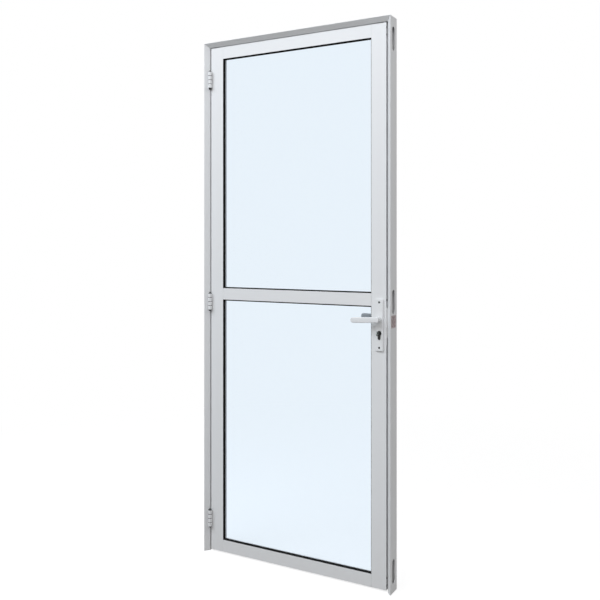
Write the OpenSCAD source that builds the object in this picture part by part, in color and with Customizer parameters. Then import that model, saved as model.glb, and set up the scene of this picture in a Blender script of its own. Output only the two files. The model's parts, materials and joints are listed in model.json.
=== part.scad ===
// Hinged glass door in a bevelled aluminium frame, front towards -Y, floor at z = 0

/* [Opening] */
// Clear width between the jambs
opening_w = 800; // [700:10:1000]
// Clear height from the floor to the head
opening_h = 2100; // [2000:10:2400]

/* [Frame profile] */
// Depth of the frame from front to back
frame_depth = 62; // [62:1:80]
// Width of the sloping front band
bevel_w = 17; // [16:1:24]
// Depth of the sloping front band
bevel_d = 18; // [12:1:20]
// Flat nose at the front edge
nose_w = 1.5; // [1:0.1:2.5]
// Wall of the frame profile
frame_wall = 1.8; // [1.4:0.1:2]
// Reach of the stop behind the leaf
stop_w = 13; // [12:0.5:13.5]
// Space between the leaf and the stop
stop_gap = 3; // [2.5:0.1:3.5]
// Width of the seal groove in the stop
groove_w = 3; // [2:0.1:3.4]
// Depth of the seal groove in the stop
groove_d = 4.5; // [3.5:0.1:4.5]
// Width of the seal where it meets the leaf
seal_face = 2.4; // [1.6:0.1:3]
// Width of the seal where it leaves the groove
seal_foot = 5; // [4.4:0.1:6]
// Length of a corner cleat's arms
cleat_arm = 30; // [25:1:110]
// Thickness of a corner cleat
cleat_t = 22; // [14:1:26]

/* [Leaf] */
// Gap between the leaf and each jamb
side_gap = 7; // [6.5:0.1:8]
// Gap between the leaf and the head
head_gap = 3; // [2:0.1:6]
// Gap between the leaf and the floor
floor_gap = 6; // [4:0.5:14]
// Thickness of the leaf
leaf_t = 30; // [29:0.5:31]
// Wall of the stile and rail tubes
leaf_wall = 1.6; // [1.2:0.1:2]
// Face width of the stiles
stile_face = 59; // [58:0.5:70]
// Face height of the top and bottom rails
rail_face = 49; // [44:0.5:80]
// Face height of the middle rail
mid_face = 47; // [45:0.5:60]
// Height of the middle rail's centre
mid_z = 1074.5; // [1070:0.5:1400]
// Reach of the glazing lip
lip_w = 16; // [15:0.5:16]
// Thickness of the glazing lip
lip_t = 2; // [1.6:0.1:2.4]
// Outer radius of the screw ports in the rails
port_r = 3.8; // [3.2:0.1:4.4]
// Distance of the screw ports from the leaf's faces
port_in = 8; // [6.5:0.1:10]
// Radius of the access holes in front of the rail screws
access_r = 5; // [4.4:0.1:6]
// Distance of the vent holes from the stiles' ends
vent_in = 43; // [38:0.5:60]
// Radius of the vent holes
vent_r = 4; // [3:0.1:5]
// Seam between the rails' faces and the stiles
seam = 0.4; // [0.2:0.05:0.8]

/* [Glazing] */
// Thickness of the glass
glass_t = 4; // [3:0.5:6]
// Setback of the glass from the leaf's front
glass_set = 8.4; // [8:0.1:10]
// Space around the edge of the glass
edge_gap = 4; // [3:0.1:6]
// Reach of the gaskets over the glass
gasket_cover = 4.9; // [3:0.1:6]
// Reach of the gaskets under the lip
gasket_tail = 5; // [3:0.1:7]
// Setback of the gasket from the lip's front
gasket_set = 0.6; // [0.3:0.1:1]
// Wall of the glazing beads
bead_wall = 1.6; // [1.2:0.1:2]
// Chamfer of the glazing beads
bead_chamfer = 1.4; // [0.6:0.1:2]
// Depth of the glazing beads
bead_d = 10; // [8:0.1:10.5]
// Length of the setting blocks
block_l = 70; // [40:1:120]
// Share of the bay's width between a block and the middle
block_share = 0.27; // [0.15:0.01:0.35]

/* [Hinges] */
// Distance of the outer hinges from the leaf's ends
hinge_inset = 132; // [110:1:250]
// Height of the middle hinge
hinge_mid_z = 1041; // [900:1:1200]
// Height of a hinge leaf
hinge_h = 66; // [60:1:90]
// Number of knuckles of a hinge
knuckle_count = 4; // [2:2:6]
// Radius of the knuckles
knuckle_r = 8.5; // [7.5:0.1:8.5]
// Radius of the pins
pin_r = 4; // [3:0.1:5]
// Thickness of the hinge leaves
plate_t = 2.2; // [2:0.1:3]
// Width of a hinge leaf from the pin's axis
flap_w = 36; // [32:0.5:38]
// Offset of the pin beyond the leaf's edge
pin_out = 0.5; // [0:0.1:1]
// Distance of the outer screws from a hinge leaf's ends
hinge_screw_in = 11; // [8:0.5:14]
// Distance of the screws from a hinge leaf's free edge
flap_screw_in = 10; // [7:0.5:12]
// Offset of a hinge leaf's middle screw
flap_step = 8; // [0:0.5:9]
// Thickness of the washers between knuckles
washer_t = 2; // [0.8:0.1:2.5]
// Height of the end caps
cap_h = 6; // [5:0.1:9]
// Radius of an end cap's tip
cap_tip = 3; // [2:0.1:4]

/* [Lock] */
// Distance of the lever's axis from the leaf's edge
backset = 25; // [24:0.5:26]
// Height of the lever's axis
lever_z = 1003; // [960:1:1003]
// Drop from the lever's axis to the cylinder
cylinder_drop = 51; // [50:0.5:54]
// Drop from the lever's axis to the dead bolt
bolt_drop = 27; // [26:0.5:28]
// Drop from the lever's axis to the middle of the lock
lock_drop = 25.5; // [24:0.5:27]
// Height of the lock case
case_h = 113; // [110:1:140]
// Depth of the lock case
case_d = 40; // [39:0.1:40.5]
// Thickness of the lock case
case_t = 15; // [14.5:0.1:16]
// Reach of the faceplate beyond each end of the case
face_over = 12; // [11:0.5:16]
// Width of the faceplate
face_w = 26; // [20:0.5:28]
// Thickness of the faceplate
face_t = 2; // [1.5:0.1:2.4]
// Distance of the faceplate's screws from its ends
face_screw_in = 6; // [5:0.1:7]
// Radius of the lock follower
hub_r = 9; // [8:0.1:9.4]
// Thickness of the latch and the dead bolt
bolt_t = 11; // [9:0.1:11.4]
// Height of the latch
latch_h = 26; // [25:0.1:27]
// Height of the latch's fork arms
fork_h = 3; // [2.2:0.1:3.2]
// Height of the dead bolt
bolt_h = 18; // [15:0.1:18]
// Travel of the latch
latch_throw = 12; // [9:0.1:13]
// Share of the latch's thickness taken off by its slant
latch_slant_share = 0.8; // [0.6:0.05:0.9]
// Thickness of the strike plate
strike_t = 2; // [1.2:0.1:2.4]
// Width of the strike plate
strike_w = 28; // [22:0.5:28]
// Reach of the strike plate beyond the two bolts
strike_over = 30; // [12:0.5:36]
// Distance of the strike's screws from its ends
strike_screw_in = 7; // [6:0.1:8]
// Drop from the lever's axis to the middle of the cover
box_drop = 8; // [4:0.5:10]
// Width of the strike box's cover
box_w = 46; // [40:0.5:48]
// Height of the strike box's cover
box_h = 46; // [42:0.5:56]
// Wall of the strike box
box_wall = 2; // [1.4:0.1:2.4]
// Depth of the recess in the cover
tray_d = 4.5; // [3:0.1:5]
// Thickness of the ribs across the recess
rib_t = 2.4; // [1.2:0.1:3]
// Distance of the ribs from each other
rib_step = 13; // [9:0.5:16]

/* [Cylinder] */
// Radius of the cylinder's round part
barrel_r = 8.5; // [8.3:0.1:8.7]
// Width of the cylinder's web
web_w = 10; // [9.5:0.1:10.5]
// Height of the whole cylinder
barrel_h = 33; // [32:0.1:33.5]
// Reach of the cylinder beyond the handle plates
barrel_out = 2; // [1:0.1:3]
// Radius of the plugs
plug_r = 6.5; // [6:0.1:6.8]
// Reach of the cam
cam_r = 13.5; // [12:0.1:13.8]
// Width of the cam's arm
cam_w = 9; // [7:0.1:10]
// Thickness of the cam
cam_t = 10; // [9:0.1:10]
// Width of the key's blade
blade_w = 8.4; // [7:0.1:9]
// Thickness of the key
key_t = 2.2; // [1.8:0.1:2.6]
// Radius of the key's bow
bow_r = 8; // [7:0.1:13]
// Length of the key outside the cylinder
key_out = 27; // [25:0.1:28]
// Radius of the hole in the bow
bow_hole = 2.5; // [2:0.1:3]

/* [Handle] */
// Height of the handle plates
handle_h = 194; // [188:1:210]
// Width of the handle plates
handle_w = 32; // [30:0.5:36]
// Thickness of the handle plates
handle_t = 7; // [6:0.1:8]
// Height of the field raised on the plates
field_t = 1.5; // [1:0.1:2]
// Border around that field
field_in = 1.8; // [1:0.1:3]
// Corner radius of the handle plates
handle_r = 6; // [4:0.1:9]
// Drop from the lever's axis to the plates' middle
handle_drop = 21; // [20:0.5:22]
// Distance between the plates' screws
handle_pitch = 168; // [166:0.5:172]
// Length of the levers from their axis
lever_l = 102; // [90:1:130]
// Height of the levers
lever_h = 20.5; // [16:0.1:22]
// Thickness of the levers
lever_t = 9; // [7:0.1:10]
// Radius of a lever's long edges
lever_r = 3; // [2:0.1:3.4]
// Height of the ridge along a lever's outer side
ridge_t = 0.6; // [0.4:0.1:1.5]
// Angle by which a lever leans from the level
lean = 2.4; // [0:0.2:4]
// Distance of the levers' middle from the leaf
lever_out = 34.5; // [34:0.1:50]
// Radius of the levers' necks
neck_r = 9.5; // [8.5:0.1:10]
// Radius of the collar around a neck
collar_r = 13; // [12.5:0.1:14]
// Height of the collar
collar_t = 1.6; // [1:0.1:3]
// Width of the square spindle
spindle_w = 8; // [7:0.1:8.5]

/* [Wall fixings] */
// Length of the wall slots
slot_l = 88; // [70:1:100]
// Width of the wall slots
slot_w = 24; // [12:0.5:26]
// Distance of the upper slot from the frame's top
slot_top = 81; // [75:1:140]
// Height of the lower slot
slot_low = 77; // [65:1:140]
// Space between the strike box and the slot above it
slot_over = 6; // [4:0.5:120]
// Radius of the driver holes in front of the slots
driver_r = 5; // [4:0.1:7]

/* [Screws and fits] */
// Radius of the screws' shanks
screw_r = 2; // [1.6:0.1:2.4]
// Radius of the screws' heads
screw_head = 4; // [3.6:0.1:4.4]
// Height of a countersunk head
screw_sink = 1.9; // [1.4:0.1:1.9]
// Width of the cross in a head
cross_w = 1; // [0.8:0.1:1.4]
// Depth of the cross in a head
cross_d = 0.9; // [0.6:0.1:1.1]
// Grip of a short screw behind its plate
screw_grip = 9; // [6:0.1:10]
// Length of the rail screws in their ports
rail_grip = 36; // [25:0.5:50]
// Running clearance on a radius
run_fit = 0.05; // [0.03:0.01:0.08]
// Sliding clearance of the bolts
slide_fit = 0.2; // [0.1:0.02:0.3]
// Clearance around a passing bolt
pass_fit = 0.9; // [0.6:0.1:1.2]
// Clearance between pieces that stay apart
clear = 0.3; // [0.25:0.01:0.4]

/* [Hidden] */
$fn = 64;
overrun = 2 * frame_wall;
frame_w = opening_w + 2 * bevel_w;
frame_h = opening_h + bevel_w;
leaf_front = -leaf_t / 2;
frame_front = leaf_front - bevel_d;
frame_back = frame_front + frame_depth;
stop_v = bevel_d + leaf_t + stop_gap;
stop_u = bevel_w + stop_w;
seal_u = bevel_w + side_gap + (stop_w - side_gap) / 2;
bevel_slope = bevel_d / (bevel_w - nose_w);
bevel_shift = frame_wall * sqrt(1 + bevel_slope * bevel_slope);
cleat_v = bevel_d + frame_wall * 2;

leaf_w = opening_w - 2 * side_gap;
leaf_top = opening_h - head_gap;
leaf_h = leaf_top - floor_gap;
stile_tube = stile_face - lip_w;
rail_tube = rail_face - lip_w;
mid_tube = mid_face - 2 * lip_w;
bay_w = leaf_w - 2 * stile_tube;
upper_bay = [mid_z + mid_tube / 2, leaf_top - rail_tube];
lower_bay = [floor_gap + rail_tube, mid_z - mid_tube / 2];
glass_back = glass_set + glass_t;
bead_front = leaf_t - bead_d;
ring_reach = lip_w + gasket_cover + overrun;
port_bore = screw_r + run_fit;

hinge_off = knuckle_r + clear;
hinge_x = -leaf_w / 2 - pin_out;
hinge_y = leaf_front - hinge_off;
hinge_zs = [floor_gap + hinge_inset, hinge_mid_z, leaf_top - hinge_inset];
flap_x = -opening_w / 2 - hinge_x;
knuckle_step = (hinge_h + washer_t) / knuckle_count;
knuckle_h = knuckle_step - washer_t;
pin_bore = pin_r + run_fit;
pin_h = hinge_h + cap_h;
hinge_screw_z = hinge_h / 2 - hinge_screw_in;
flap_screw_y = flap_w - flap_screw_in;

lever_x = leaf_w / 2 - backset;
cylinder_z = lever_z - cylinder_drop;
bolt_z = lever_z - bolt_drop;
lock_z = lever_z - lock_drop;
handle_z = lever_z - handle_drop;
face_h = case_h + 2 * face_over;
face_x = leaf_w / 2 + face_t;
latch_tip = face_x + latch_throw;
fork_x = leaf_w / 2 - case_d + latch_throw + pass_fit;
latch_block = lever_x + hub_r + latch_throw + clear;
bolt_x = leaf_w / 2 - case_d + pass_fit;
face_screw_z = face_h / 2 - face_screw_in;
case_window = case_h + 2 * clear;
plate_out = leaf_t / 2 + handle_t;
barrel_end = plate_out + barrel_out;
web_h = barrel_h - barrel_r;
cam_room = cam_r + clear;
web_screw_z = cylinder_z - (web_h + cam_room) / 2;
key_tip = barrel_end + key_out;
strike_top = lever_z + latch_h / 2 + strike_over;
strike_low = bolt_z - bolt_h / 2 - strike_over;
box_pocket_w = bolt_t + 2 * pass_fit;
box_pocket_top = lever_z + latch_h / 2 + pass_fit;
box_pocket_low = bolt_z - bolt_h / 2 - pass_fit;
box_z = lever_z - box_drop;
box_y = frame_front + frame_depth / 2;
box_floor = frame_w / 2 - tray_d;
slot_mid = box_z + box_h / 2 + slot_over + slot_l / 2;
slot_zs = [slot_low, slot_mid, frame_h - slot_top];
slot_y = frame_front + frame_depth / 2;

// Colours of the finishes
white = [0.9, 0.91, 0.92];
silver = [0.8, 0.81, 0.82];
black = [0.06, 0.06, 0.06];
steel = [0.72, 0.73, 0.74];
nickel = [0.78, 0.78, 0.79];
clear_glass = [0.8, 0.9, 0.95, 0.4];
brown = [0.45, 0.32, 0.28];
dark = [0.2, 0.2, 0.21];

// Depth of the sloping face at a distance from the outer side
function slope_at(u) = (u - nose_w) * bevel_slope;

// Section of the frame, drawn as [from the outer side, from the front]
module frame_section() {
    difference() {
        polygon([
            [0, 0], [nose_w, 0], [bevel_w, bevel_d], [bevel_w, stop_v],
            [stop_u, stop_v], [stop_u, frame_depth], [0, frame_depth]
        ]);
        // chamber behind the slope
        polygon([
            [frame_wall, slope_at(frame_wall) + bevel_shift],
            [bevel_w - frame_wall, slope_at(bevel_w - frame_wall) + bevel_shift],
            [bevel_w - frame_wall, frame_depth - frame_wall],
            [frame_wall, frame_depth - frame_wall]
        ]);
        // chamber of the stop
        translate([bevel_w, stop_v + groove_d + frame_wall])
            square([stop_w - frame_wall, frame_depth - stop_v - groove_d - 2 * frame_wall]);
        // groove for the seal
        translate([seal_u - groove_w / 2, stop_v - overrun])
            square([groove_w, groove_d + overrun]);
    }
}

// Section of the stop seal, drawn like the frame's
module seal_section() {
    polygon([
        [seal_u - groove_w / 2, stop_v + groove_d], [seal_u - groove_w / 2, stop_v],
        [seal_u - seal_foot / 2, stop_v], [seal_u - seal_face / 2, stop_v - stop_gap + clear],
        [seal_u + seal_face / 2, stop_v - stop_gap + clear], [seal_u + seal_foot / 2, stop_v],
        [seal_u + groove_w / 2, stop_v], [seal_u + groove_w / 2, stop_v + groove_d]
    ]);
}

// Upright at the left of the frame with its upper end mitred
module frame_upright() {
    intersection() {
        translate([-frame_w / 2, frame_front, 0]) linear_extrude(frame_h) children();
        translate([-frame_w / 2, frame_back + overrun, 0]) rotate([90, 0, 0])
            linear_extrude(frame_depth + 2 * overrun) polygon([
                [-overrun, -overrun], [-overrun, frame_h + overrun],
                [stop_u + overrun, frame_h - stop_u - overrun], [stop_u + overrun, -overrun]
            ]);
    }
}

// Crosspiece at the top of the frame with both ends mitred
module frame_crosspiece() {
    intersection() {
        translate([-frame_w / 2, frame_front, frame_h]) rotate([90, 0, 90])
            linear_extrude(frame_w) rotate(-90) children();
        translate([0, frame_back + overrun, frame_h]) rotate([90, 0, 0])
            linear_extrude(frame_depth + 2 * overrun) polygon([
                [-frame_w / 2 - overrun, overrun], [frame_w / 2 + overrun, overrun],
                [frame_w / 2 - stop_u - overrun, -stop_u - overrun],
                [-frame_w / 2 + stop_u + overrun, -stop_u - overrun]
            ]);
    }
}

// Upright slot through the left outer wall, centred on its own height
module wall_slot() {
    for (s = [-1, 1]) translate([0, 0, s * (slot_l - slot_w) / 2]) rotate([0, 90, 0])
        cylinder(h = 2 * frame_wall, d = slot_w, center = true);
    cube([2 * frame_wall, slot_w, slot_l - slot_w], center = true);
}

// Wall slots and driver holes of the left jamb
module wall_fixings() {
    for (z = slot_zs) {
        translate([-frame_w / 2, slot_y, z]) wall_slot();
        translate([-opening_w / 2 - 2 * frame_wall, slot_y, z]) rotate([0, 90, 0])
            cylinder(h = 4 * frame_wall, r = driver_r);
    }
}

// Screw with a countersunk head level with z = 0, pointing down
module screw(length) {
    difference() {
        union() {
            translate([0, 0, -screw_sink]) cylinder(h = screw_sink, r1 = screw_r, r2 = screw_head);
            translate([0, 0, -length]) cylinder(h = length - screw_sink / 2, r = screw_r);
        }
        cross_recess();
    }
}

// Cross in the head of a screw
module cross_recess() {
    for (a = [0, 90]) rotate(a)
        cube([screw_head, cross_w, 2 * cross_d], center = true);
}

// Hole for that screw, with its countersink
module screw_hole(length) {
    translate([0, 0, -screw_sink])
        cylinder(h = screw_sink, r1 = screw_r + run_fit, r2 = screw_head + run_fit);
    translate([0, 0, -length - overrun]) cylinder(h = length + overrun, r = screw_r + run_fit);
}

// Left jamb
module hinge_jamb() color(white) difference() {
    frame_upright() frame_section();
    wall_fixings();
    at_hinges() flap_screws() screw_hole(screw_grip);
}

// Right jamb with its openings for the latch, the dead bolt and the strike box
module lock_jamb() color(white) difference() {
    mirror([1, 0, 0]) frame_upright() frame_section();
    mirror([1, 0, 0]) wall_fixings();
    strike_windows(pass_fit);
    translate([frame_w / 2, box_y, box_z])
        cube([2 * frame_wall, box_w + 2 * clear, box_h + 2 * clear], center = true);
    at_strike_screws() screw_hole(screw_grip);
}

// Top of the frame
module head() color(white) frame_crosspiece() frame_section();

// Right-angled cleats inside the mitres
module corner_cleats() color(steel) for (s = [0, 1]) mirror([s, 0, 0])
    translate([-frame_w / 2, frame_front + cleat_v + cleat_t, frame_h]) rotate([90, 0, 0])
        linear_extrude(cleat_t) cleat_outline();

// Outline of a cleat in the corner
module cleat_outline() {
    in = frame_wall + clear;
    out = bevel_w - frame_wall - clear;
    polygon([
        [in, -in], [in + cleat_arm, -in], [in + cleat_arm, -out],
        [out, -out], [out, -in - cleat_arm], [in, -in - cleat_arm]
    ]);
}

// Seals pushed into the stop
module hinge_seal() color(black) frame_upright() seal_section();
module lock_seal() color(black) mirror([1, 0, 0]) frame_upright() seal_section();
module head_seal() color(black) frame_crosspiece() seal_section();

// Passages for the latch and the dead bolt through the strike and the jamb's inner wall
module strike_windows(room) {
    for (w = [[lever_z, latch_h], [bolt_z, bolt_h]])
        translate([opening_w / 2, 0, w[0]])
            cube([2 * (strike_t + frame_wall), bolt_t + 2 * room, w[1] + 2 * room], center = true);
}

// Strike plate on the lock jamb
module strike_plate() color(steel) difference() {
    translate([opening_w / 2 - strike_t, -strike_w / 2, strike_low])
        cube([strike_t, strike_w, strike_top - strike_low]);
    strike_windows(pass_fit - clear);
    at_strike_screws() screw_hole(screw_grip);
}

// Places of the strike's screws, heads towards the leaf
module at_strike_screws() {
    for (z = [strike_low + strike_screw_in, strike_top - strike_screw_in])
        translate([opening_w / 2 - strike_t, 0, z]) rotate([0, -90, 0]) children();
}

module strike_screws() color(steel) at_strike_screws() screw(screw_grip);

// Block of the strike box between two depths, drawn in from the cover's sides
module box_block(from, to, inset) translate([from, box_y - box_w / 2 + inset, box_z - box_h / 2 + inset])
    cube([to - from, box_w - 2 * inset, box_h - 2 * inset]);

// Block around the passages of the latch and the dead bolt
module pocket_block(from, to, room)
    translate([from, -box_pocket_w / 2 - room, box_pocket_low - room])
        cube([to - from, box_pocket_w + 2 * room, box_pocket_top - box_pocket_low + 2 * room]);

// Box behind the strike, with its ribbed cover in the jamb's outer wall
module strike_box() color(brown) {
    difference() {
        union() {
            box_block(frame_w / 2 - frame_wall, frame_w / 2, 0);
            box_block(box_floor - box_wall, frame_w / 2, box_wall);
            pocket_block(opening_w / 2 + frame_wall, box_floor, box_wall);
        }
        box_block(box_floor, frame_w / 2 + overrun, 2 * box_wall);
        pocket_block(opening_w / 2, box_floor - box_wall, 0);
    }
    intersection() {
        box_block(box_floor - box_wall / 2, frame_w / 2 - frame_wall, 2 * box_wall - clear);
        for (i = [-1, 0, 1]) translate([box_floor, box_y, box_z]) rotate([45, 0, 0])
            translate([0, i * rib_step, 0]) cube([2 * tray_d, rib_t, box_w + box_h], center = true);
    }
}

// Hinge places on the pin's axis
module at_hinges() for (z = hinge_zs) translate([hinge_x, hinge_y, z]) children();

// Every second knuckle of a hinge, counted from its lower end
module knuckles(first, h, r) for (i = [first:2:knuckle_count - 1])
    translate([0, 0, (knuckle_h - hinge_h) / 2 + i * knuckle_step]) cylinder(h = h, r = r, center = true);

// Screw places of a hinge leaf, in its own plane
module leaf_screws() for (s = [-1, 0, 1])
    translate([0, flap_screw_y - (1 - abs(s)) * flap_step, s * hinge_screw_z]) children();

// The same on the jamb's leaf and on the door's, heads towards the gap
module flap_screws() leaf_screws() translate([flap_x + plate_t, 0, 0]) rotate([0, 90, 0]) children();
module edge_screws() leaf_screws() translate([pin_out - plate_t, 0, 0]) rotate([0, -90, 0]) children();

// Hinge leaf in the gap from a given distance, with every second knuckle
module hinge_leaf(x, own, other) difference() {
    union() {
        knuckles(own, knuckle_h, knuckle_r);
        translate([x, 0, -hinge_h / 2]) cube([plate_t, flap_w, hinge_h]);
    }
    cylinder(h = hinge_h + overrun, r = pin_bore, center = true);
    knuckles(other, knuckle_h + 2 * washer_t, knuckle_r + clear);
}

// Hinge leaf on the jamb, with the lowest knuckle
module frame_hinge() color(white) difference() {
    hinge_leaf(flap_x, 0, 1);
    flap_screws() screw_hole(screw_grip);
}

// Hinge leaf on the door's edge, resting on the jamb's knuckles
module door_hinge() color(white) difference() {
    hinge_leaf(pin_out - plate_t, 1, 0);
    edge_screws() screw_hole(screw_grip);
}

module frame_hinge_low() translate([hinge_x, hinge_y, hinge_zs[0]]) frame_hinge();
module frame_hinge_mid() translate([hinge_x, hinge_y, hinge_zs[1]]) frame_hinge();
module frame_hinge_top() translate([hinge_x, hinge_y, hinge_zs[2]]) frame_hinge();
module door_hinge_low() translate([hinge_x, hinge_y, hinge_zs[0]]) door_hinge();
module door_hinge_mid() translate([hinge_x, hinge_y, hinge_zs[1]]) door_hinge();
module door_hinge_top() translate([hinge_x, hinge_y, hinge_zs[2]]) door_hinge();
module frame_hinge_screws() color(white) at_hinges() flap_screws() screw(screw_grip);
module door_hinge_screws() color(white) at_hinges() edge_screws() screw(screw_grip);
module hinge_pins() color(steel) at_hinges() cylinder(h = pin_h, r = pin_r, center = true);

// Tapered caps on the pins' ends and washers between the knuckles
module hinge_caps() color(black) at_hinges() {
    for (s = [0, 1]) mirror([0, 0, s]) translate([0, 0, hinge_h / 2]) rotate_extrude() polygon([
        [pin_bore, 0], [knuckle_r - clear, 0], [cap_tip, cap_h], [0, cap_h],
        [0, cap_h / 2 + run_fit], [pin_bore, cap_h / 2 + run_fit]
    ]);
    for (i = [1:knuckle_count - 1]) translate([0, 0, i * knuckle_step - (hinge_h + washer_t) / 2])
        difference() {
            cylinder(h = washer_t - 2 * run_fit, r = knuckle_r - clear, center = true);
            cylinder(h = 2 * washer_t, r = pin_bore, center = true);
        }
}

// Section of a leaf tube with one glazing lip, drawn as [from the edge, from the front]
module tube_section(tube) {
    difference() {
        square([tube, leaf_t]);
        translate([leaf_wall, leaf_wall]) square([tube - 2 * leaf_wall, leaf_t - 2 * leaf_wall]);
    }
    translate([tube - leaf_wall, 0]) square([lip_w + leaf_wall, lip_t]);
}

// Two screw ports of a rail on the webs that carry them, drawn like its tube
module ports(tube) for (v = [port_in, leaf_t - port_in]) translate([tube / 2, v]) difference() {
    union() {
        circle(r = port_r);
        square([tube, leaf_wall], center = true);
    }
    circle(r = port_bore);
}

// Bar between the stiles, notched at the front where their lips pass
module rail_bar(z) {
    difference() {
        translate([-bay_w / 2, leaf_front, z]) rotate([90, 0, 90]) linear_extrude(bay_w) children();
        for (s = [-1, 1]) translate([s * bay_w / 2, leaf_front, z])
            cube([2 * (lip_w + seam), 2 * lip_t, 4 * rail_face], center = true);
    }
}

// Left stile, bored for the rails' screws and vented near its ends
module stile() difference() {
    translate([-leaf_w / 2, leaf_front, floor_gap]) linear_extrude(leaf_h) tube_section(stile_tube);
    at_rail_screws() translate([0, 0, -overrun]) cylinder(h = 2 * overrun, r = screw_r + run_fit);
    at_rail_screws() translate([0, 0, -stile_tube]) cylinder(h = stile_tube / 2, r = access_r);
    for (z = [floor_gap + vent_in, leaf_top - vent_in])
        translate([-leaf_w / 2, leaf_front + port_in, z]) rotate([0, 90, 0])
            cylinder(h = 2 * overrun, r = vent_r, center = true);
}

module hinge_stile() color(white) difference() {
    stile();
    at_hinges() edge_screws() screw_hole(screw_grip);
}

// Right stile, cut for the lock and the handles
module lock_stile() color(white) difference() {
    mirror([1, 0, 0]) stile();
    translate([leaf_w / 2, 0, lock_z])
        cube([4 * leaf_wall, case_t + 2 * clear, case_window], center = true);
    at_face_screws() screw_hole(screw_grip);
    across(lever_x, lever_z, leaf_t + overrun) circle(r = hub_r + pass_fit);
    across(lever_x, cylinder_z, leaf_t + overrun) barrel_outline(clear);
    at_plate_screws() across(0, 0, leaf_t + overrun) circle(r = screw_r + clear);
}

module top_rail() color(white) rail_bar(leaf_top) rotate(-90) {
    tube_section(rail_tube);
    ports(rail_tube);
}

module bottom_rail() color(white) rail_bar(floor_gap) mirror([1, -1, 0]) {
    tube_section(rail_tube);
    ports(rail_tube);
}

// Rail between the panes, with a lip to each of them
module mid_rail() color(white) rail_bar(mid_z - mid_tube / 2) mirror([1, -1, 0]) {
    tube_section(mid_tube);
    translate([mid_tube, 0]) mirror([1, 0, 0]) tube_section(mid_tube);
    ports(mid_tube);
}

// Places of the left stile's rail screws, heads on the tube's inner wall and pointing away from the rail
module at_rail_screws() for (z = [floor_gap + rail_tube / 2, mid_z, leaf_top - rail_tube / 2])
    for (v = [port_in, leaf_t - port_in])
        translate([-bay_w / 2 - leaf_wall, leaf_front + v, z]) rotate([0, 90, 0]) children();

module rail_screws() color(steel) for (s = [0, 1]) mirror([s, 0, 0]) at_rail_screws() difference() {
    union() {
        translate([0, 0, -screw_sink]) cylinder(h = screw_sink, r = screw_head);
        cylinder(h = leaf_wall + rail_grip, r = screw_r);
    }
    translate([0, 0, -screw_sink]) cross_recess();
}

// Glass of one bay
module pane(bay) color(clear_glass)
    translate([-bay_w / 2 + edge_gap, leaf_front + glass_set, bay[0] + edge_gap])
        cube([bay_w - 2 * edge_gap, glass_t, bay[1] - bay[0] - 2 * edge_gap]);

module upper_pane() pane(upper_bay);
module lower_pane() pane(lower_bay);

// Blocks that carry the glass
module setting_blocks() color(black) for (bay = [upper_bay, lower_bay]) for (s = [-1, 1])
    translate([s * block_share * bay_w - block_l / 2, leaf_front + glass_set - glass_t / 4, bay[0]])
        cube([block_l, glass_t * 1.5, edge_gap]);

// Side of a bay's ring lying on the local floor, drawn as [inward, from the front] and mitred at both ends
module ring_bar(length) {
    intersection() {
        translate([-length / 2, leaf_front, 0]) rotate([90, 0, 90])
            linear_extrude(length) mirror([1, -1, 0]) children();
        translate([0, leaf_t / 2 + overrun, 0]) rotate([90, 0, 0])
            linear_extrude(leaf_t + 2 * overrun) polygon([
                [-length / 2, 0], [length / 2, 0],
                [length / 2 - ring_reach, ring_reach], [-length / 2 + ring_reach, ring_reach]
            ]);
    }
}

// Places of the sides of a bay
module bay_bottom(bay) translate([0, 0, bay[0]]) ring_bar(bay_w) children();
module bay_top(bay) translate([0, 0, bay[1]]) rotate([0, 180, 0]) ring_bar(bay_w) children();
module bay_left(bay) translate([-bay_w / 2, 0, (bay[0] + bay[1]) / 2]) rotate([0, 90, 0])
    ring_bar(bay[1] - bay[0]) children();
module bay_right(bay) translate([bay_w / 2, 0, (bay[0] + bay[1]) / 2]) rotate([0, -90, 0])
    ring_bar(bay[1] - bay[0]) children();

// All four sides of a bay in one ring
module bay_ring(bay) {
    bay_bottom(bay) children();
    bay_top(bay) children();
    bay_left(bay) children();
    bay_right(bay) children();
}

// Section of the gasket between the lip and the glass
module front_gasket_section() polygon([
    [lip_w - gasket_tail, lip_t], [lip_w, lip_t], [lip_w, gasket_set],
    [lip_w + gasket_cover, glass_set], [lip_w - gasket_tail, glass_set]
]);

// Section of the gasket between the glass and the bead
module rear_gasket_section() polygon([
    [lip_w - gasket_tail, glass_back], [lip_w + gasket_cover, glass_back],
    [lip_w, bead_front], [lip_w - gasket_tail, bead_front]
]);

// Section of a bead, a channel open towards the glass
module bead_section() difference() {
    polygon([
        [run_fit, bead_front], [lip_w, bead_front], [lip_w, leaf_t - bead_chamfer],
        [lip_w - bead_chamfer, leaf_t], [run_fit, leaf_t]
    ]);
    translate([run_fit + bead_wall, bead_front - overrun])
        square([lip_w - 2 * bead_wall - run_fit, bead_d - bead_wall - bead_chamfer + overrun]);
}

module upper_front_gasket() color(black) bay_ring(upper_bay) front_gasket_section();
module lower_front_gasket() color(black) bay_ring(lower_bay) front_gasket_section();
module upper_rear_gasket() color(black) bay_ring(upper_bay) rear_gasket_section();
module lower_rear_gasket() color(black) bay_ring(lower_bay) rear_gasket_section();
module upper_bead_left() color(white) bay_left(upper_bay) bead_section();
module upper_bead_right() color(white) bay_right(upper_bay) bead_section();
module upper_bead_top() color(white) bay_top(upper_bay) bead_section();
module upper_bead_bottom() color(white) bay_bottom(upper_bay) bead_section();
module lower_bead_left() color(white) bay_left(lower_bay) bead_section();
module lower_bead_right() color(white) bay_right(lower_bay) bead_section();
module lower_bead_top() color(white) bay_top(lower_bay) bead_section();
module lower_bead_bottom() color(white) bay_bottom(lower_bay) bead_section();

// Shape drawn in x and z, carried through the leaf's middle over a depth
module across(x, z, depth) translate([x, depth / 2, z]) rotate([90, 0, 0]) linear_extrude(depth) children();

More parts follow.
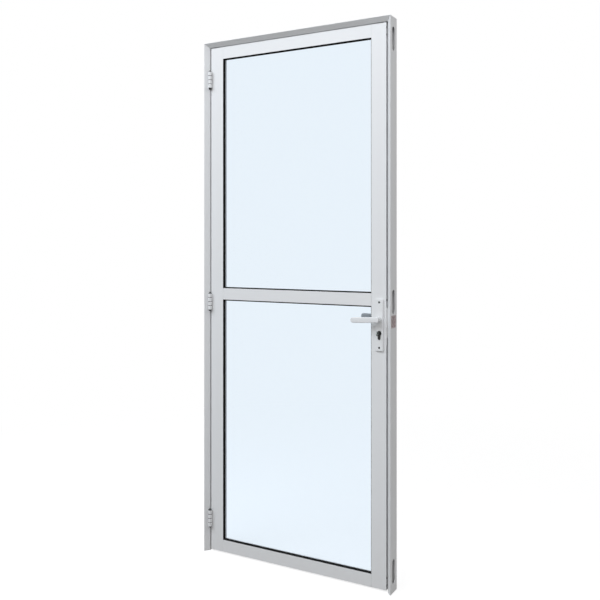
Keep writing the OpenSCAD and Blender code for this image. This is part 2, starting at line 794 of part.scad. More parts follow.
// Outline of the profile cylinder around its plug's axis
module barrel_outline(room) {
    circle(r = barrel_r + room);
    translate([-web_w / 2 - room, web_w / 2 - web_h]) square([web_w + 2 * room, web_h - web_w / 2]);
    translate([0, web_w / 2 - web_h]) circle(r = web_w / 2 + room);
}

// Case of the lock inside the stile
module lock_case() color(steel) difference() {
    translate([leaf_w / 2 - case_d, -case_t / 2, lock_z - case_h / 2]) cube([case_d, case_t, case_h]);
    across(lever_x, lever_z, case_t + overrun) circle(r = hub_r + run_fit);
    bolt_channel(lever_z, latch_h);
    bolt_channel(bolt_z, bolt_h);
    across(lever_x, cylinder_z, bolt_t + 2 * slide_fit) circle(r = cam_room);
    across(lever_x, cylinder_z, case_t + overrun) barrel_outline(clear);
    translate([lever_x, 0, web_screw_z]) rotate([0, 90, 0]) cylinder(h = case_d, r = screw_r + run_fit);
}

// Channel of a bolt through the case, open at the leaf's edge
module bolt_channel(z, h) translate([leaf_w / 2 - case_d + clear, 0, z])
    translate([0, -bolt_t / 2 - slide_fit, -h / 2 - slide_fit])
        cube([case_d, bolt_t + 2 * slide_fit, h + 2 * slide_fit]);

// Plate on the leaf's edge that carries the lock
module faceplate() color(steel) difference() {
    translate([leaf_w / 2, -face_w / 2, lock_z - face_h / 2]) cube([face_t, face_w, face_h]);
    for (w = [[lever_z, latch_h], [bolt_z, bolt_h]])
        translate([leaf_w / 2, 0, w[0]])
            cube([4 * face_t, bolt_t + 2 * slide_fit, w[1] + 2 * slide_fit], center = true);
    translate([face_x, 0, web_screw_z]) rotate([0, 90, 0]) screw_hole(backset);
    at_face_screws() screw_hole(screw_grip);
}

// Places of the faceplate's screws
module at_face_screws() for (s = [-1, 1])
    translate([face_x, 0, lock_z + s * face_screw_z]) rotate([0, 90, 0]) children();

module faceplate_screws() color(steel) at_face_screws() screw(screw_grip);

// Plate around a handle, in front of the leaf and pointing forward
module handle_plate() {
    difference() {
        union() {
            lay_plate(0, handle_t - field_t, 0);
            lay_plate(handle_t - field_t, field_t, field_in);
            translate([lever_x, leaf_front - handle_t, lever_z]) rotate([90, 0, 0])
                cylinder(h = collar_t, r = collar_r);
        }
        across(lever_x, lever_z, 4 * plate_out) circle(r = neck_r + run_fit);
        across(lever_x, cylinder_z, 4 * plate_out) barrel_outline(clear);
        at_plate_screws() translate([0, -plate_out, 0]) rotate([90, 0, 0]) screw_hole(handle_t);
    }
}

// Layer of a handle plate with rounded corners
module lay_plate(from, t, inset) translate([lever_x, leaf_front - from, handle_z]) rotate([90, 0, 0])
    linear_extrude(t) rounded(handle_w - 2 * inset, handle_h - 2 * inset, handle_r);

// Rectangle with rounded corners around the origin
module rounded(w, h, r) {
    square([w - 2 * r, h], center = true);
    square([w, h - 2 * r], center = true);
    for (i = [-1, 1]) for (j = [-1, 1])
        translate([i * (w / 2 - r), j * (h / 2 - r)]) circle(r = r);
}

// Places of the handle plates' screws
module at_plate_screws() for (s = [-1, 1])
    translate([lever_x, 0, handle_z + s * handle_pitch / 2]) children();

module front_plate() color(silver) handle_plate();
module rear_plate() color(silver) mirror([0, 1, 0]) handle_plate();

// Screws that draw the two plates together
module plate_screws() color(dark) at_plate_screws() translate([0, -plate_out, 0])
    rotate([90, 0, 0]) screw(2 * plate_out - screw_sink);

// Body of the profile cylinder
module cylinder_body() color(black) difference() {
    across(lever_x, cylinder_z, 2 * barrel_end) barrel_outline(0);
    across(lever_x, cylinder_z, 2 * barrel_end + overrun) circle(r = plug_r + run_fit);
    translate([lever_x, 0, cylinder_z + barrel_h / 2 - cam_room])
        cube([barrel_h, cam_t + 2 * slide_fit, barrel_h], center = true);
    translate([lever_x, 0, web_screw_z]) rotate([0, 90, 0])
        cylinder(h = web_w + overrun, r = screw_r + run_fit, center = true);
}

// Plug of one side, from the cam to the cylinder's end
module plug() translate([lever_x, -cam_t / 2 - slide_fit, cylinder_z]) rotate([90, 0, 0])
    cylinder(h = barrel_end - cam_t / 2 - slide_fit, r = plug_r);

module rear_plug() color(black) difference() {
    mirror([0, 1, 0]) plug();
    translate([lever_x, barrel_end, cylinder_z])
        cube([key_t + 2 * slide_fit, barrel_end, blade_w + 2 * slide_fit], center = true);
}

module cylinder_screw() color(steel) translate([face_x, 0, web_screw_z]) rotate([0, 90, 0])
    screw(face_t + backset + web_w / 2);

// Plug turned by the key, with the cam that drives the dead bolt
module front_plug() color(black) difference() {
    union() {
        plug();
        translate([lever_x, -cam_t / 2, cylinder_z]) rotate([90, 0, 0])
            cylinder(h = 2 * slide_fit, r = plug_r);
        across(lever_x, cylinder_z, cam_t) {
            circle(r = plug_r);
            intersection() {
                circle(r = cam_r);
                translate([-cam_w / 2, 0]) square([cam_w, 2 * cam_r]);
            }
        }
    }
    translate([lever_x, -barrel_end, cylinder_z])
        cube([key_t + 2 * slide_fit, barrel_end, blade_w + 2 * slide_fit], center = true);
}

// Outline of the key, drawn as [down, back] from the plug's axis
module key_outline() difference() {
    union() {
        translate([-blade_w / 2, -key_tip + bow_r])
            square([blade_w, key_tip - bow_r - barrel_end / 2 - slide_fit]);
        translate([0, -key_tip + bow_r]) circle(r = bow_r);
    }
    translate([0, -key_tip + 2 * bow_hole]) circle(r = bow_hole);
}

// Key in the front plug, its bow standing upright
module key() color(nickel) translate([lever_x - key_t / 2, 0, cylinder_z]) rotate([0, 90, 0])
    linear_extrude(key_t) key_outline();

// Bar of a lever with rounded edges and end, and a ridge along its outer side
module lever_grip() intersection() {
    translate([-lever_l, 0, 0]) rotate([90, 0, 90]) linear_extrude(lever_l + neck_r) {
        rounded(lever_t, lever_h, lever_r);
        polygon([
            [-lever_t / 2, lever_r - lever_h / 2], [-lever_t / 2, lever_h / 2 - lever_r],
            [-lever_t / 2 - ridge_t, 0]
        ]);
    }
    rotate([90, 0, 0]) linear_extrude(2 * lever_t, center = true) {
        translate([-lever_l + lever_h / 2, -lever_h / 2]) square([lever_l - lever_h / 2, lever_h]);
        for (x = [-lever_l + lever_h / 2, 0]) translate([x, 0]) circle(r = lever_h / 2);
    }
}

// Lever in front of the leaf on its axis, with its neck and the square socket
module lever() translate([0, leaf_front - lever_out, 0]) difference() {
    union() {
        rotate([0, -lean, 0]) lever_grip();
        rotate([-90, 0, 0]) cylinder(h = lever_out - pass_fit, r = neck_r);
    }
    translate([0, lever_out, 0])
        cube([spindle_w + 2 * run_fit, 2 * lever_out, spindle_w + 2 * run_fit], center = true);
}

// Two equal levers, the rear one turned over
module front_lever() color(silver) translate([lever_x, 0, lever_z]) lever();
module rear_lever() color(silver) translate([lever_x, 0, lever_z]) rotate([180, 0, 0]) lever();

// Square bar through both levers and the follower
module spindle() color(steel) translate([lever_x, 0, lever_z])
    cube([spindle_w, leaf_t + 2 * (lever_out - clear), spindle_w], center = true);

// Follower in the lock case
module follower() color(steel) difference() {
    across(lever_x, lever_z, case_t) circle(r = hub_r);
    translate([lever_x, 0, lever_z])
        cube([spindle_w + 2 * run_fit, 2 * case_t, spindle_w + 2 * run_fit], center = true);
}

// Latch with a fork around the follower and a slanted tip
module latch_bolt() color(nickel) translate([0, bolt_t / 2, lever_z]) difference() {
    translate([fork_x, -bolt_t, -latch_h / 2]) cube([latch_tip - fork_x, bolt_t, latch_h]);
    translate([fork_x - overrun, -bolt_t - overrun, -latch_h / 2 + fork_h])
        cube([latch_block - fork_x + overrun, bolt_t + 2 * overrun, latch_h - 2 * fork_h]);
    translate([0, 0, -latch_h]) linear_extrude(2 * latch_h) polygon([
        [latch_tip - bolt_t, 0], [latch_tip, -bolt_t * latch_slant_share],
        [latch_tip + overrun, -bolt_t * latch_slant_share],
        [latch_tip + overrun, overrun], [latch_tip - bolt_t, overrun]
    ]);
}

module dead_bolt() color(nickel) translate([bolt_x, -bolt_t / 2, bolt_z - bolt_h / 2])
    cube([face_x - bolt_x, bolt_t, bolt_h]);

hinge_jamb();
lock_jamb();
head();
corner_cleats();
hinge_seal();
lock_seal();
head_seal();
strike_plate();
strike_box();
strike_screws();
frame_hinge_top();
frame_hinge_mid();
frame_hinge_low();
frame_hinge_screws();
hinge_pins();
hinge_caps();
hinge_stile();
lock_stile();
top_rail();
mid_rail();
bottom_rail();
rail_screws();
upper_pane();
lower_pane();
upper_front_gasket();
lower_front_gasket();
upper_rear_gasket();
lower_rear_gasket();
setting_blocks();
upper_bead_left();
upper_bead_right();
upper_bead_top();
upper_bead_bottom();
lower_bead_left();
lower_bead_right();
lower_bead_top();
lower_bead_bottom();
door_hinge_top();
door_hinge_mid();
door_hinge_low();
door_hinge_screws();
lock_case();
faceplate();
faceplate_screws();
front_plate();
rear_plate();
plate_screws();
cylinder_body();
rear_plug();
cylinder_screw();
front_lever();
rear_lever();
spindle();
follower();
latch_bolt();
dead_bolt();
key();
front_plug();
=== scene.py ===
"""Looks of a hinged glass door in its aluminium frame: finishes, eased edges, light and camera."""

import json
import math

import bpy
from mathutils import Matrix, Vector

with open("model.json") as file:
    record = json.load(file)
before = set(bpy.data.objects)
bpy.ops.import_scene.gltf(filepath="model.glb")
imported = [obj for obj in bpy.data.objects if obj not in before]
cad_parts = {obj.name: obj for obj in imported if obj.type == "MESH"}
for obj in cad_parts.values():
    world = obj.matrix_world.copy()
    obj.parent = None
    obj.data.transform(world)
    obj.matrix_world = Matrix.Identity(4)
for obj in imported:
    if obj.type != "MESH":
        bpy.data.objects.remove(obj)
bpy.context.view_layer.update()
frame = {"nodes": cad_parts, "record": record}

MM = 0.001
WHITE = (1.0, 1.0, 1.0, 1.0)
BLACK = (0.0, 0.0, 0.0, 1.0)

# Camera, in the photograph's frame
IMAGE_PX = 600
FOCAL_PX = 755.06
HORIZON_PX = 243.56
SENSOR_MM = 36.0
CAMERA_PLACE = (1.4626, -2.5970, 1.2827)
CAMERA_YAW_DEG = 29.01
LEVEL_DEG = 90.0
CAMERA_REACH = 100.0

# Light: the sky's strength on the object and where it is seen
SKY_LEVEL = 0.39
SEEN_LEVEL = 1.0
# Diffuse depth under which no matt face has passed a ray on
FIRST_BOUNCE = 0.5
# Each lamp's place, aim, sides, watts and colour
LAMPS = {
    "key": ((-1.3, -3.4, 4.5), (0.0, 0.0, 1.2), (5.0, 2.4), 165.0, (0.87, 0.93, 1.0)),
    "front": ((2.0, -3.6, 2.9), (0.0, 0.0, 1.5), (2.0, 1.6), 34.0, (1.0, 0.99, 0.99)),
    "side": ((3.0, -0.6, 3.4), (0.2, 0.0, 1.6), (1.2, 1.2), 10.0, (0.94, 0.97, 1.0)),
}

# Floor: its size, its shades for light and for the camera, and where it turns to white
FLOOR_HALF = 9.0
FLOOR_DROP = 0.4 * MM
FLOOR_LIT = (0.22, 0.215, 0.21, 1.0)
FLOOR_SEEN = (0.32, 0.32, 0.32, 1.0)
FLOOR_WHITE = 0.81
FLOOR_NEAR = 0.9
FLOOR_FAR = 3.0

# Sockets of a mix node that mixes colours
MIX_FACTOR, MIX_LOW, MIX_HIGH = 0, 6, 7
MIX_RESULT = 2


def add(tree, kind, inputs=None, **settings):
    """A new node with its settings, and with values or other nodes' outputs on its inputs."""
    made = tree.nodes.new(kind)
    for name, value in settings.items():
        setattr(made, name, value)
    for name, value in (inputs or {}).items():
        plug(tree, made.inputs[name], value)
    return made


def plug(tree, socket, value):
    """Links an output to a socket, or sets the socket's own value."""
    if isinstance(value, bpy.types.NodeSocket):
        tree.links.new(value, socket)
    else:
        socket.default_value = value


def calculate(tree, operation, *values):
    """The result of an operation on numbers."""
    node = add(tree, "ShaderNodeMath", dict(enumerate(values)), operation=operation)
    return node.outputs["Value"]


def calculate_vector(tree, operation, *vectors):
    """The result of an operation on vectors."""
    node = add(tree, "ShaderNodeVectorMath", dict(enumerate(vectors)), operation=operation)
    return node.outputs["Vector"]


def mix_colours(tree, share, low, high):
    """A colour between two colours."""
    mix = add(tree, "ShaderNodeMix", data_type="RGBA")
    plug(tree, mix.inputs[MIX_FACTOR], share)
    plug(tree, mix.inputs[MIX_LOW], low)
    plug(tree, mix.inputs[MIX_HIGH], high)
    return mix.outputs[MIX_RESULT]


def span(tree, value, low, high):
    """A value of about 0 to 1 spread between two others."""
    spread = add(tree, "ShaderNodeMapRange", {"Value": value, "To Min": low, "To Max": high})
    return spread.outputs["Result"]


def vary(tree, base, pattern, spread):
    """A value that follows a pattern up and down by a spread."""
    return calculate(tree, "ADD", base, span(tree, pattern, -spread, spread))


def noise(tree, coordinates, scale, detail=2.0):
    """Noise over the piece, with a scale per metre."""
    made = add(tree, "ShaderNodeTexNoise", {
        "Vector": coordinates, "Scale": scale, "Detail": detail,
    })
    return made.outputs["Fac"]


def piece_coordinates(tree):
    """Places on the piece in metres, which move with it."""
    return add(tree, "ShaderNodeTexCoord").outputs["Object"]


def inside_share(tree, place, centre, half):
    """1 on faces inside a box that lies alike on both sides of the middle, and 0 elsewhere."""
    mirrored = calculate_vector(tree, "ABSOLUTE", place)
    offset = calculate_vector(tree, "SUBTRACT", mirrored, centre)
    reach = calculate_vector(tree, "ABSOLUTE", offset)
    share = calculate_vector(tree, "DIVIDE", reach, half)
    sides = add(tree, "ShaderNodeSeparateXYZ", {"Vector": share}).outputs
    widest = calculate(tree, "MAXIMUM", sides["X"], sides["Y"])
    most = calculate(tree, "MAXIMUM", widest, sides["Z"])
    return calculate(tree, "LESS_THAN", most, 1.0)


COLOUR = "NodeSocketColor"
VALUE = "NodeSocketFloat"
PLACE = "NodeSocketVector"
SKIN_OUTPUTS = [("Colour", COLOUR), ("Roughness", VALUE), ("Height", VALUE)]


def new_group(name, inputs):
    """A skin's shader group, whose inputs may have a value of their own, with its outputs."""
    tree = bpy.data.node_groups.new(name, "ShaderNodeTree")
    for label, kind, *own_value in inputs:
        socket = tree.interface.new_socket(label, in_out="INPUT", socket_type=kind)
        for value in own_value:
            socket.default_value = value
    for label, kind in SKIN_OUTPUTS:
        tree.interface.new_socket(label, in_out="OUTPUT", socket_type=kind)
    source = tree.nodes.new("NodeGroupInput")
    sink = tree.nodes.new("NodeGroupOutput")
    return tree, source.outputs, sink.inputs


# Sprayed coat: scales per metre, detail, spread of the roughness, and how high the darker patches
# towards the floor reach
CLOUD_SCALE = 2.5
LOW_PATCH_SCALE = 45.0
LOW_PATCH_DETAIL = 4.0
LOW_PATCH_HEIGHT = 0.3
PEEL_DETAIL = 1.0
COAT_SPREAD = 0.05
# Half sides of a box too small to hold any face
NO_HOLLOW = (1e-6, 1e-6, 1e-6)


def coat_skin():
    """Sprayed coat: a fine peel, slow clouds, darker patches towards the floor, and a near-black
    painted shade on faces inside a hollow.
    """
    tree, given, made = new_group("coat_skin", [
        ("Colour", COLOUR), ("Cloud Colour", COLOUR), ("Dust Colour", COLOUR), ("Roughness", VALUE),
        ("Peel Scale", VALUE), ("Bare Colour", COLOUR), ("Hollow Centre", PLACE),
        ("Hollow Half", PLACE, NO_HOLLOW),
    ])
    place = piece_coordinates(tree)
    cloud = noise(tree, place, CLOUD_SCALE)
    shade = mix_colours(tree, cloud, given["Colour"], given["Cloud Colour"])
    height = add(tree, "ShaderNodeSeparateXYZ", {"Vector": place}).outputs["Z"]
    # Darker in noise patches towards the floor, within the lowest stretch of each piece
    low = add(tree, "ShaderNodeMapRange", {
        "Value": height, "From Min": 0.0, "From Max": LOW_PATCH_HEIGHT, "To Min": 1.0, "To Max": 0.0,
    }).outputs["Result"]
    patches = calculate(tree, "MULTIPLY", low, noise(tree, place, LOW_PATCH_SCALE, LOW_PATCH_DETAIL))
    low_patched = mix_colours(tree, patches, shade, given["Dust Colour"])
    # Painted shade: faces inside the hollow box turn near black, so holes into the hollow look
    # shaded
    painted_hollow_shade = inside_share(tree, place, given["Hollow Centre"], given["Hollow Half"])
    plug(tree, made["Colour"], mix_colours(tree, painted_hollow_shade, low_patched, given["Bare Colour"]))
    plug(tree, made["Roughness"], vary(tree, given["Roughness"], cloud, COAT_SPREAD))
    plug(tree, made["Height"], noise(tree, place, given["Peel Scale"], PEEL_DETAIL))
    return tree


# Drawn metal: scales per metre across and along its lines, detail and spread of the roughness
LINE_SCALES = (2500.0, 2500.0, 60.0)
LINE_DETAIL = 3.0
GLOSS_SCALE = 30.0
DRAWN_SPREAD = 0.06


def drawn_skin():
    """Drawn or ground metal: long fine lines along one axis and slow changes in its gloss."""
    tree, given, made = new_group("drawn_skin", [
        ("Colour", COLOUR), ("Line Colour", COLOUR), ("Roughness", VALUE),
    ])
    place = piece_coordinates(tree)
    stretched = calculate_vector(tree, "MULTIPLY", place, LINE_SCALES)
    lines = noise(tree, stretched, 1.0, LINE_DETAIL)
    plug(tree, made["Colour"], mix_colours(tree, lines, given["Colour"], given["Line Colour"]))
    gloss = noise(tree, place, GLOSS_SCALE)
    plug(tree, made["Roughness"], vary(tree, given["Roughness"], gloss, DRAWN_SPREAD))
    plug(tree, made["Height"], lines)
    return tree


# Moulded rubber and plastic: scale per metre, detail and spread of the roughness
RUB_SCALE = 25.0
RUB_DETAIL = 4.0
MOULDED_SPREAD = 0.08


def moulded_skin():
    """Moulded rubber or plastic: a matt grain with paler rubbed patches."""
    tree, given, made = new_group("moulded_skin", [
        ("Colour", COLOUR), ("Rubbed Colour", COLOUR), ("Roughness", VALUE), ("Grain Scale", VALUE),
    ])
    place = piece_coordinates(tree)
    patches = noise(tree, place, RUB_SCALE, RUB_DETAIL)
    plug(tree, made["Colour"], mix_colours(tree, patches, given["Colour"], given["Rubbed Colour"]))
    plug(tree, made["Roughness"], vary(tree, given["Roughness"], patches, MOULDED_SPREAD))
    plug(tree, made["Height"], noise(tree, place, given["Grain Scale"]))
    return tree


SKINS = {"coat": coat_skin(), "drawn": drawn_skin(), "moulded": moulded_skin()}


def new_material(name):
    """A material and its node tree."""
    material = bpy.data.materials.new(name)
    material.use_nodes = True
    return material, material.node_tree


def finish(name, skin, bump, bump_depth, metallic=0.0, gloss=0.5, **values):
    """A material of one skin, with the skin's values by name and its bump."""
    material, tree = new_material(name)
    shader = tree.nodes["Principled BSDF"]
    shader.inputs["Metallic"].default_value = metallic
    shader.inputs["Specular IOR Level"].default_value = gloss
    group = add(tree, "ShaderNodeGroup", node_tree=SKINS[skin])
    for label, value in values.items():
        group.inputs[label.replace("_", " ").title()].default_value = value
    relief = add(tree, "ShaderNodeBump", {
        "Strength": bump, "Distance": bump_depth, "Height": group.outputs["Height"],
    })
    plug(tree, shader.inputs["Base Color"], group.outputs["Colour"])
    plug(tree, shader.inputs["Roughness"], group.outputs["Roughness"])
    plug(tree, shader.inputs["Normal"], relief.outputs["Normal"])
    return material


def grey(level, warm=0.0):
    """A near-grey colour, bluer below 0 and warmer above."""
    return (level * (1 + warm), level, level * (1 - warm), 1.0)


# Shades of the white coats: their tints, and the levels of clouds and of the darker patches towards
# the floor as shares of the coat's
COAT_TINT = -0.006
LOW_PATCH_TINT = 0.01
CLOUD_SHARE = 0.97
LOW_PATCH_SHARE = 0.93


def white_coat(name, level, **more):
    """White sprayed aluminium."""
    return finish(
        name, "coat", bump=0.06, bump_depth=0.15 * MM, colour=grey(level, COAT_TINT),
        cloud_colour=grey(level * CLOUD_SHARE, COAT_TINT),
        dust_colour=grey(level * LOW_PATCH_SHARE, LOW_PATCH_TINT), roughness=0.40, peel_scale=700.0, **more,
    )


# Glass: its tint where it is clean and smeared, and what it lets through of a lamp's light
GLASS_IOR = 1.5
GLASS_CLEAN = (0.80, 0.885, 0.965, 1.0)
GLASS_SMEARED = (0.805, 0.89, 0.965, 1.0)
GLASS_LETS_THROUGH = (0.75, 0.69, 0.65, 1.0)
SMEAR_SCALE = 6.0
SMEAR_DETAIL = 5.0
SMEAR_ROUGHNESS = 0.012


def clear_glass():
    """Clear float glass with a pale tint, through which lamps reach what is behind it."""
    material, tree = new_material("clear_glass")
    shader = tree.nodes["Principled BSDF"]
    shader.inputs["Transmission Weight"].default_value = 1.0
    shader.inputs["IOR"].default_value = GLASS_IOR
    smear = noise(tree, piece_coordinates(tree), SMEAR_SCALE, SMEAR_DETAIL)
    plug(tree, shader.inputs["Base Color"], mix_colours(tree, smear, GLASS_CLEAN, GLASS_SMEARED))
    plug(tree, shader.inputs["Roughness"], span(tree, smear, 0.0, SMEAR_ROUGHNESS))
    through = add(tree, "ShaderNodeBsdfTransparent", {"Color": GLASS_LETS_THROUGH})
    path = add(tree, "ShaderNodeLightPath")
    both = add(tree, "ShaderNodeMixShader", {
        0: path.outputs["Is Shadow Ray"], 1: shader.outputs["BSDF"], 2: through.outputs["BSDF"],
    })
    plug(tree, tree.nodes["Material Output"].inputs["Surface"], both.outputs["Shader"])
    return material


# Front glazing lip of the stiles, and how far in from their outside the white coat reaches before
# the painted shade of their hollow starts
LIP_WIDTH = 16 * MM
COAT_REACH = 0.8 * MM


def stile_hollow():
    """Middle and half sides of the hollow of a stile, which starts behind its lip."""
    corners = [Vector(corner) for corner in frame["nodes"]["lock_stile"].bound_box]
    low = Vector(min(corner[axis] for corner in corners) for axis in range(3))
    high = Vector(max(corner[axis] for corner in corners) for axis in range(3))
    low.x += LIP_WIDTH
    return (low + high) / 2, (high - low) / 2 - Vector((COAT_REACH,) * 3)


HOLLOW_CENTRE, HOLLOW_HALF = stile_hollow()
FINISHES = {
    "white_profile": white_coat("white_coat", 0.84),
    # Stiles: the white coat, with a near-black painted shade on the faces inside their hollow
    "white_stile": white_coat(
        "stile_coat_hollow_shade", 0.84,
        bare_colour=grey(0.02), hollow_centre=HOLLOW_CENTRE, hollow_half=HOLLOW_HALF,
    ),
    "white_hinge": white_coat("hinge_coat", 0.82),
    "white_handle": finish(
        "handle_lacquer", "coat", bump=0.05, bump_depth=0.1 * MM, colour=grey(0.84, COAT_TINT),
        cloud_colour=grey(0.82, COAT_TINT), dust_colour=grey(0.7), roughness=0.30,
        peel_scale=1200.0,
    ),
    "white_screw": white_coat("screw_coat", 0.76),
    "dark_steel": finish(
        "blackened_steel", "drawn", bump=0.05, bump_depth=0.03 * MM, metallic=0.5,
        colour=grey(0.02), line_colour=grey(0.05), roughness=0.42,
    ),
    "clear_glass": clear_glass(),
    "black_rubber": finish(
        "gasket_rubber", "moulded", bump=0.2, bump_depth=0.1 * MM, gloss=0.12,
        colour=grey(0.003), rubbed_colour=grey(0.008), roughness=0.75, grain_scale=1500.0,
    ),
    # Hinge end caps: near-black plastic, partly their own colour and partly painted shade standing
    # in for the shade in the notches at the hinge ends
    "black_plastic": finish(
        "cap_plastic_and_shade", "moulded", bump=0.15, bump_depth=0.1 * MM,
        colour=grey(0.014), rubbed_colour=grey(0.03), roughness=0.5, grain_scale=2200.0,
    ),
    "brown_plastic": finish(
        "box_plastic", "moulded", bump=0.2, bump_depth=0.1 * MM, colour=(0.53, 0.44, 0.44, 1.0),
        rubbed_colour=(0.68, 0.60, 0.60, 1.0), roughness=0.55, grain_scale=1200.0,
    ),
    "black_cylinder": finish(
        "black_brass", "drawn", bump=0.05, bump_depth=0.05 * MM, metallic=0.4,
        colour=grey(0.012), line_colour=grey(0.03, 0.05), roughness=0.38,
    ),
    "nickel": finish(
        "nickel_plate", "drawn", bump=0.05, bump_depth=0.03 * MM, metallic=1.0,
        colour=grey(0.60, 0.02), line_colour=grey(0.52, 0.02), roughness=0.26,
    ),
    "dull_nickel": finish(
        "worn_nickel", "drawn", bump=0.06, bump_depth=0.03 * MM, metallic=1.0,
        colour=(0.34, 0.36, 0.35, 1.0), line_colour=(0.26, 0.28, 0.27, 1.0), roughness=0.42,
    ),
    "steel": finish(
        "zinc_steel", "drawn", bump=0.08, bump_depth=0.04 * MM, metallic=1.0,
        colour=grey(0.55, -0.01), line_colour=grey(0.45, -0.01), roughness=0.36,
    ),
    "satin_steel": finish(
        "satin_steel", "drawn", bump=0.06, bump_depth=0.04 * MM, metallic=0.25,
        colour=grey(0.90), line_colour=grey(0.80), roughness=0.45,
    ),
}
# Pieces with another finish than the rest of their kind
OWN_FINISHES = {
    "faceplate": "satin_steel", "strike_plate": "satin_steel", "rail_screws": "dark_steel",
    "hinge_stile": "white_stile", "lock_stile": "white_stile",
}

# Width of the eased edges, by the slot of the piece
EDGE_WIDTHS = {
    "white_profile": 0.45 * MM,
    "white_hinge": 0.4 * MM,
    "white_handle": 0.5 * MM,
}
# Pieces whose edges are round already
ROUND_PIECES = ("front_lever", "rear_lever")
EDGE_ANGLE = math.radians(32.0)
EDGE_STEPS = 2
FLAT_ANGLE = math.radians(0.4)
FLAT_FACE_WEIGHT = 80
WELD_DISTANCE = 0.005 * MM


def weld_group(name, sharp_angle):
    """Joins a piece's faces along their edges, and shades all but its sharper edges smoothly."""
    tree = bpy.data.node_groups.new(name, "GeometryNodeTree")
    for side in ("INPUT", "OUTPUT"):
        tree.interface.new_socket("Geometry", in_out=side, socket_type="NodeSocketGeometry")
    source = tree.nodes.new("NodeGroupInput")
    sink = tree.nodes.new("NodeGroupOutput")
    weld = add(tree, "GeometryNodeMergeByDistance", {
        "Geometry": source.outputs["Geometry"], "Distance": WELD_DISTANCE,
    })
    plain = add(tree, "GeometryNodeRemoveAttribute", {
        "Geometry": weld.outputs["Geometry"], "Name": "custom_normal",
    })
    smooth = add(tree, "GeometryNodeSetShadeSmooth", {
        "Geometry": plain.outputs["Geometry"], "Shade Smooth": True,
    })
    angle = add(tree, "GeometryNodeInputMeshEdgeAngle").outputs["Unsigned Angle"]
    sharp = add(tree, "FunctionNodeCompare", {0: angle, 1: sharp_angle}, operation="GREATER_THAN")
    kept = add(tree, "GeometryNodeSetShadeSmooth", {
        "Geometry": smooth.outputs["Geometry"], "Selection": sharp.outputs["Result"],
        "Shade Smooth": False,
    }, domain="EDGE")
    plug(tree, sink.inputs["Geometry"], kept.outputs["Geometry"])
    return tree


SMOOTH_WELD = weld_group("smooth_weld", math.pi)
SHARP_WELD = weld_group("sharp_weld", EDGE_ANGLE)


def ease_edges(piece, width):
    """Small rounds on a piece's sharp edges, with flat faces left flat."""
    weld = piece.modifiers.new("weld", "NODES")
    weld.node_group = SMOOTH_WELD
    flat = piece.modifiers.new("flat_faces", "DECIMATE")
    flat.decimate_type = "DISSOLVE"
    flat.angle_limit = FLAT_ANGLE
    ease = piece.modifiers.new("eased_edges", "BEVEL")
    ease.limit_method = "ANGLE"
    ease.angle_limit = EDGE_ANGLE
    ease.width = width
    ease.segments = EDGE_STEPS
    ease.use_clamp_overlap = False
    shade_evenly(piece)


def keep_edges(piece):
    """Smooth shade on a piece whose edges are already round, with its sharp edges left sharp."""
    weld = piece.modifiers.new("weld", "NODES")
    weld.node_group = SHARP_WELD
    shade_evenly(piece)


def shade_evenly(piece):
    """Flat faces shaded flat beside the rounds that meet them."""
    even = piece.modifiers.new("even_shade", "WEIGHTED_NORMAL")
    even.weight = FLAT_FACE_WEIGHT
    even.keep_sharp = True


def dress_pieces():
    """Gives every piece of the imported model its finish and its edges."""
    for row in frame["record"]["subparts"]:
        piece = frame["nodes"][row["node"]]
        slot = row["material_slot"]
        piece.data.materials.clear()
        piece.data.materials.append(FINISHES[OWN_FINISHES.get(row["node"], slot)])
        if row["node"] in ROUND_PIECES:
            keep_edges(piece)
        elif slot in EDGE_WIDTHS:
            ease_edges(piece, EDGE_WIDTHS[slot])


def camera_ray_share(tree):
    """1 for rays from the camera, also by way of gloss or glass, and 0 for light on the object."""
    path = add(tree, "ShaderNodeLightPath").outputs
    shiny = calculate(tree, "MAXIMUM", path["Is Glossy Ray"], path["Is Transmission Ray"])
    seen = calculate(tree, "MAXIMUM", path["Is Camera Ray"], shiny)
    direct = calculate(tree, "LESS_THAN", path["Diffuse Depth"], FIRST_BOUNCE)
    return calculate(tree, "MULTIPLY", seen, direct)


def make_sky():
    """White where it is seen, and a plain soft light on the object."""
    world = bpy.data.worlds.new("sky")
    bpy.context.scene.world = world
    world.use_nodes = True
    tree = world.node_tree
    sky = tree.nodes["Background"]
    plug(tree, sky.inputs["Color"], WHITE)
    plug(tree, sky.inputs["Strength"], span(tree, camera_ray_share(tree), SKY_LEVEL, SEEN_LEVEL))


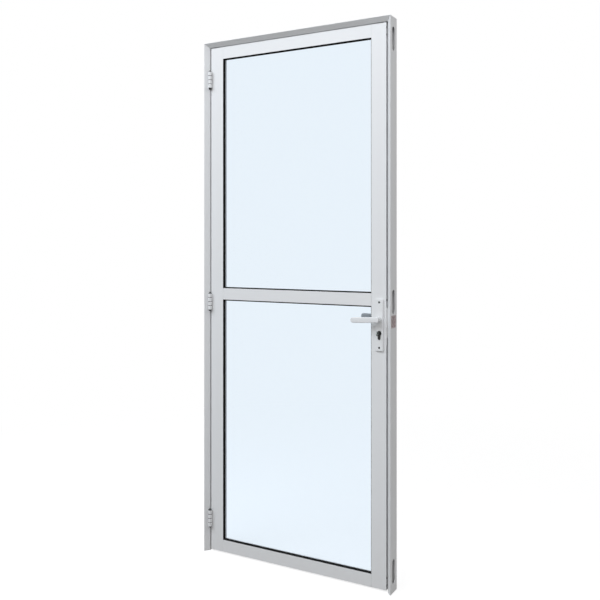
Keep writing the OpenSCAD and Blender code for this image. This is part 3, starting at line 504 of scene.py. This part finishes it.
def make_floor():
    """Pale floor that keeps the object's shadow and turns to plain white further away."""
    bpy.ops.mesh.primitive_plane_add(size=2 * FLOOR_HALF, location=(0.0, 0.0, -FLOOR_DROP))
    floor = bpy.context.object
    floor.name = "floor"
    material, tree = new_material("pale_floor")
    tree.nodes.remove(tree.nodes["Principled BSDF"])
    seen = camera_ray_share(tree)
    place = piece_coordinates(tree)
    distance = add(tree, "ShaderNodeVectorMath", {0: place}, operation="LENGTH").outputs["Value"]
    far = add(tree, "ShaderNodeMapRange", {
        "Value": distance, "From Min": FLOOR_NEAR, "From Max": FLOOR_FAR,
    }).outputs["Result"]
    shown = mix_colours(tree, far, FLOOR_SEEN, BLACK)
    shade = mix_colours(tree, seen, FLOOR_LIT, shown)
    matt = add(tree, "ShaderNodeBsdfDiffuse", {"Color": shade})
    lift = span(tree, seen, 0.0, span(tree, far, FLOOR_WHITE, SEEN_LEVEL))
    glow = add(tree, "ShaderNodeEmission", {"Color": WHITE, "Strength": lift})
    both = add(tree, "ShaderNodeAddShader", {0: matt.outputs["BSDF"], 1: glow.outputs["Emission"]})
    plug(tree, tree.nodes["Material Output"].inputs["Surface"], both.outputs["Shader"])
    floor.data.materials.append(material)


def make_lamp(name, place, aim, sides, watts, colour):
    """Soft lamp turned towards a point, which only its light and its gloss show."""
    lamp = bpy.data.lights.new(name, "AREA")
    lamp.shape = "RECTANGLE"
    lamp.size, lamp.size_y = sides
    lamp.energy = watts
    lamp.color = colour
    holder = bpy.data.objects.new(name, lamp)
    holder.location = place
    holder.rotation_euler = (Vector(aim) - Vector(place)).to_track_quat("-Z", "Y").to_euler()
    holder.visible_camera = False
    holder.visible_transmission = False
    bpy.context.scene.collection.objects.link(holder)


def make_camera():
    """Level camera at the photograph's place."""
    lens = bpy.data.cameras.new("camera")
    lens.sensor_width = SENSOR_MM
    lens.lens = FOCAL_PX / IMAGE_PX * SENSOR_MM
    lens.shift_y = (HORIZON_PX - IMAGE_PX / 2) / IMAGE_PX
    lens.clip_end = CAMERA_REACH
    camera = bpy.data.objects.new("camera", lens)
    camera.location = CAMERA_PLACE
    camera.rotation_euler = (math.radians(LEVEL_DEG), 0.0, math.radians(CAMERA_YAW_DEG))
    bpy.context.scene.collection.objects.link(camera)
    bpy.context.scene.camera = camera


make_camera()
dress_pieces()
make_sky()
make_floor()
for name, lamp in LAMPS.items():
    make_lamp(name, *lamp)
bpy.context.scene.view_settings.view_transform = "Standard"
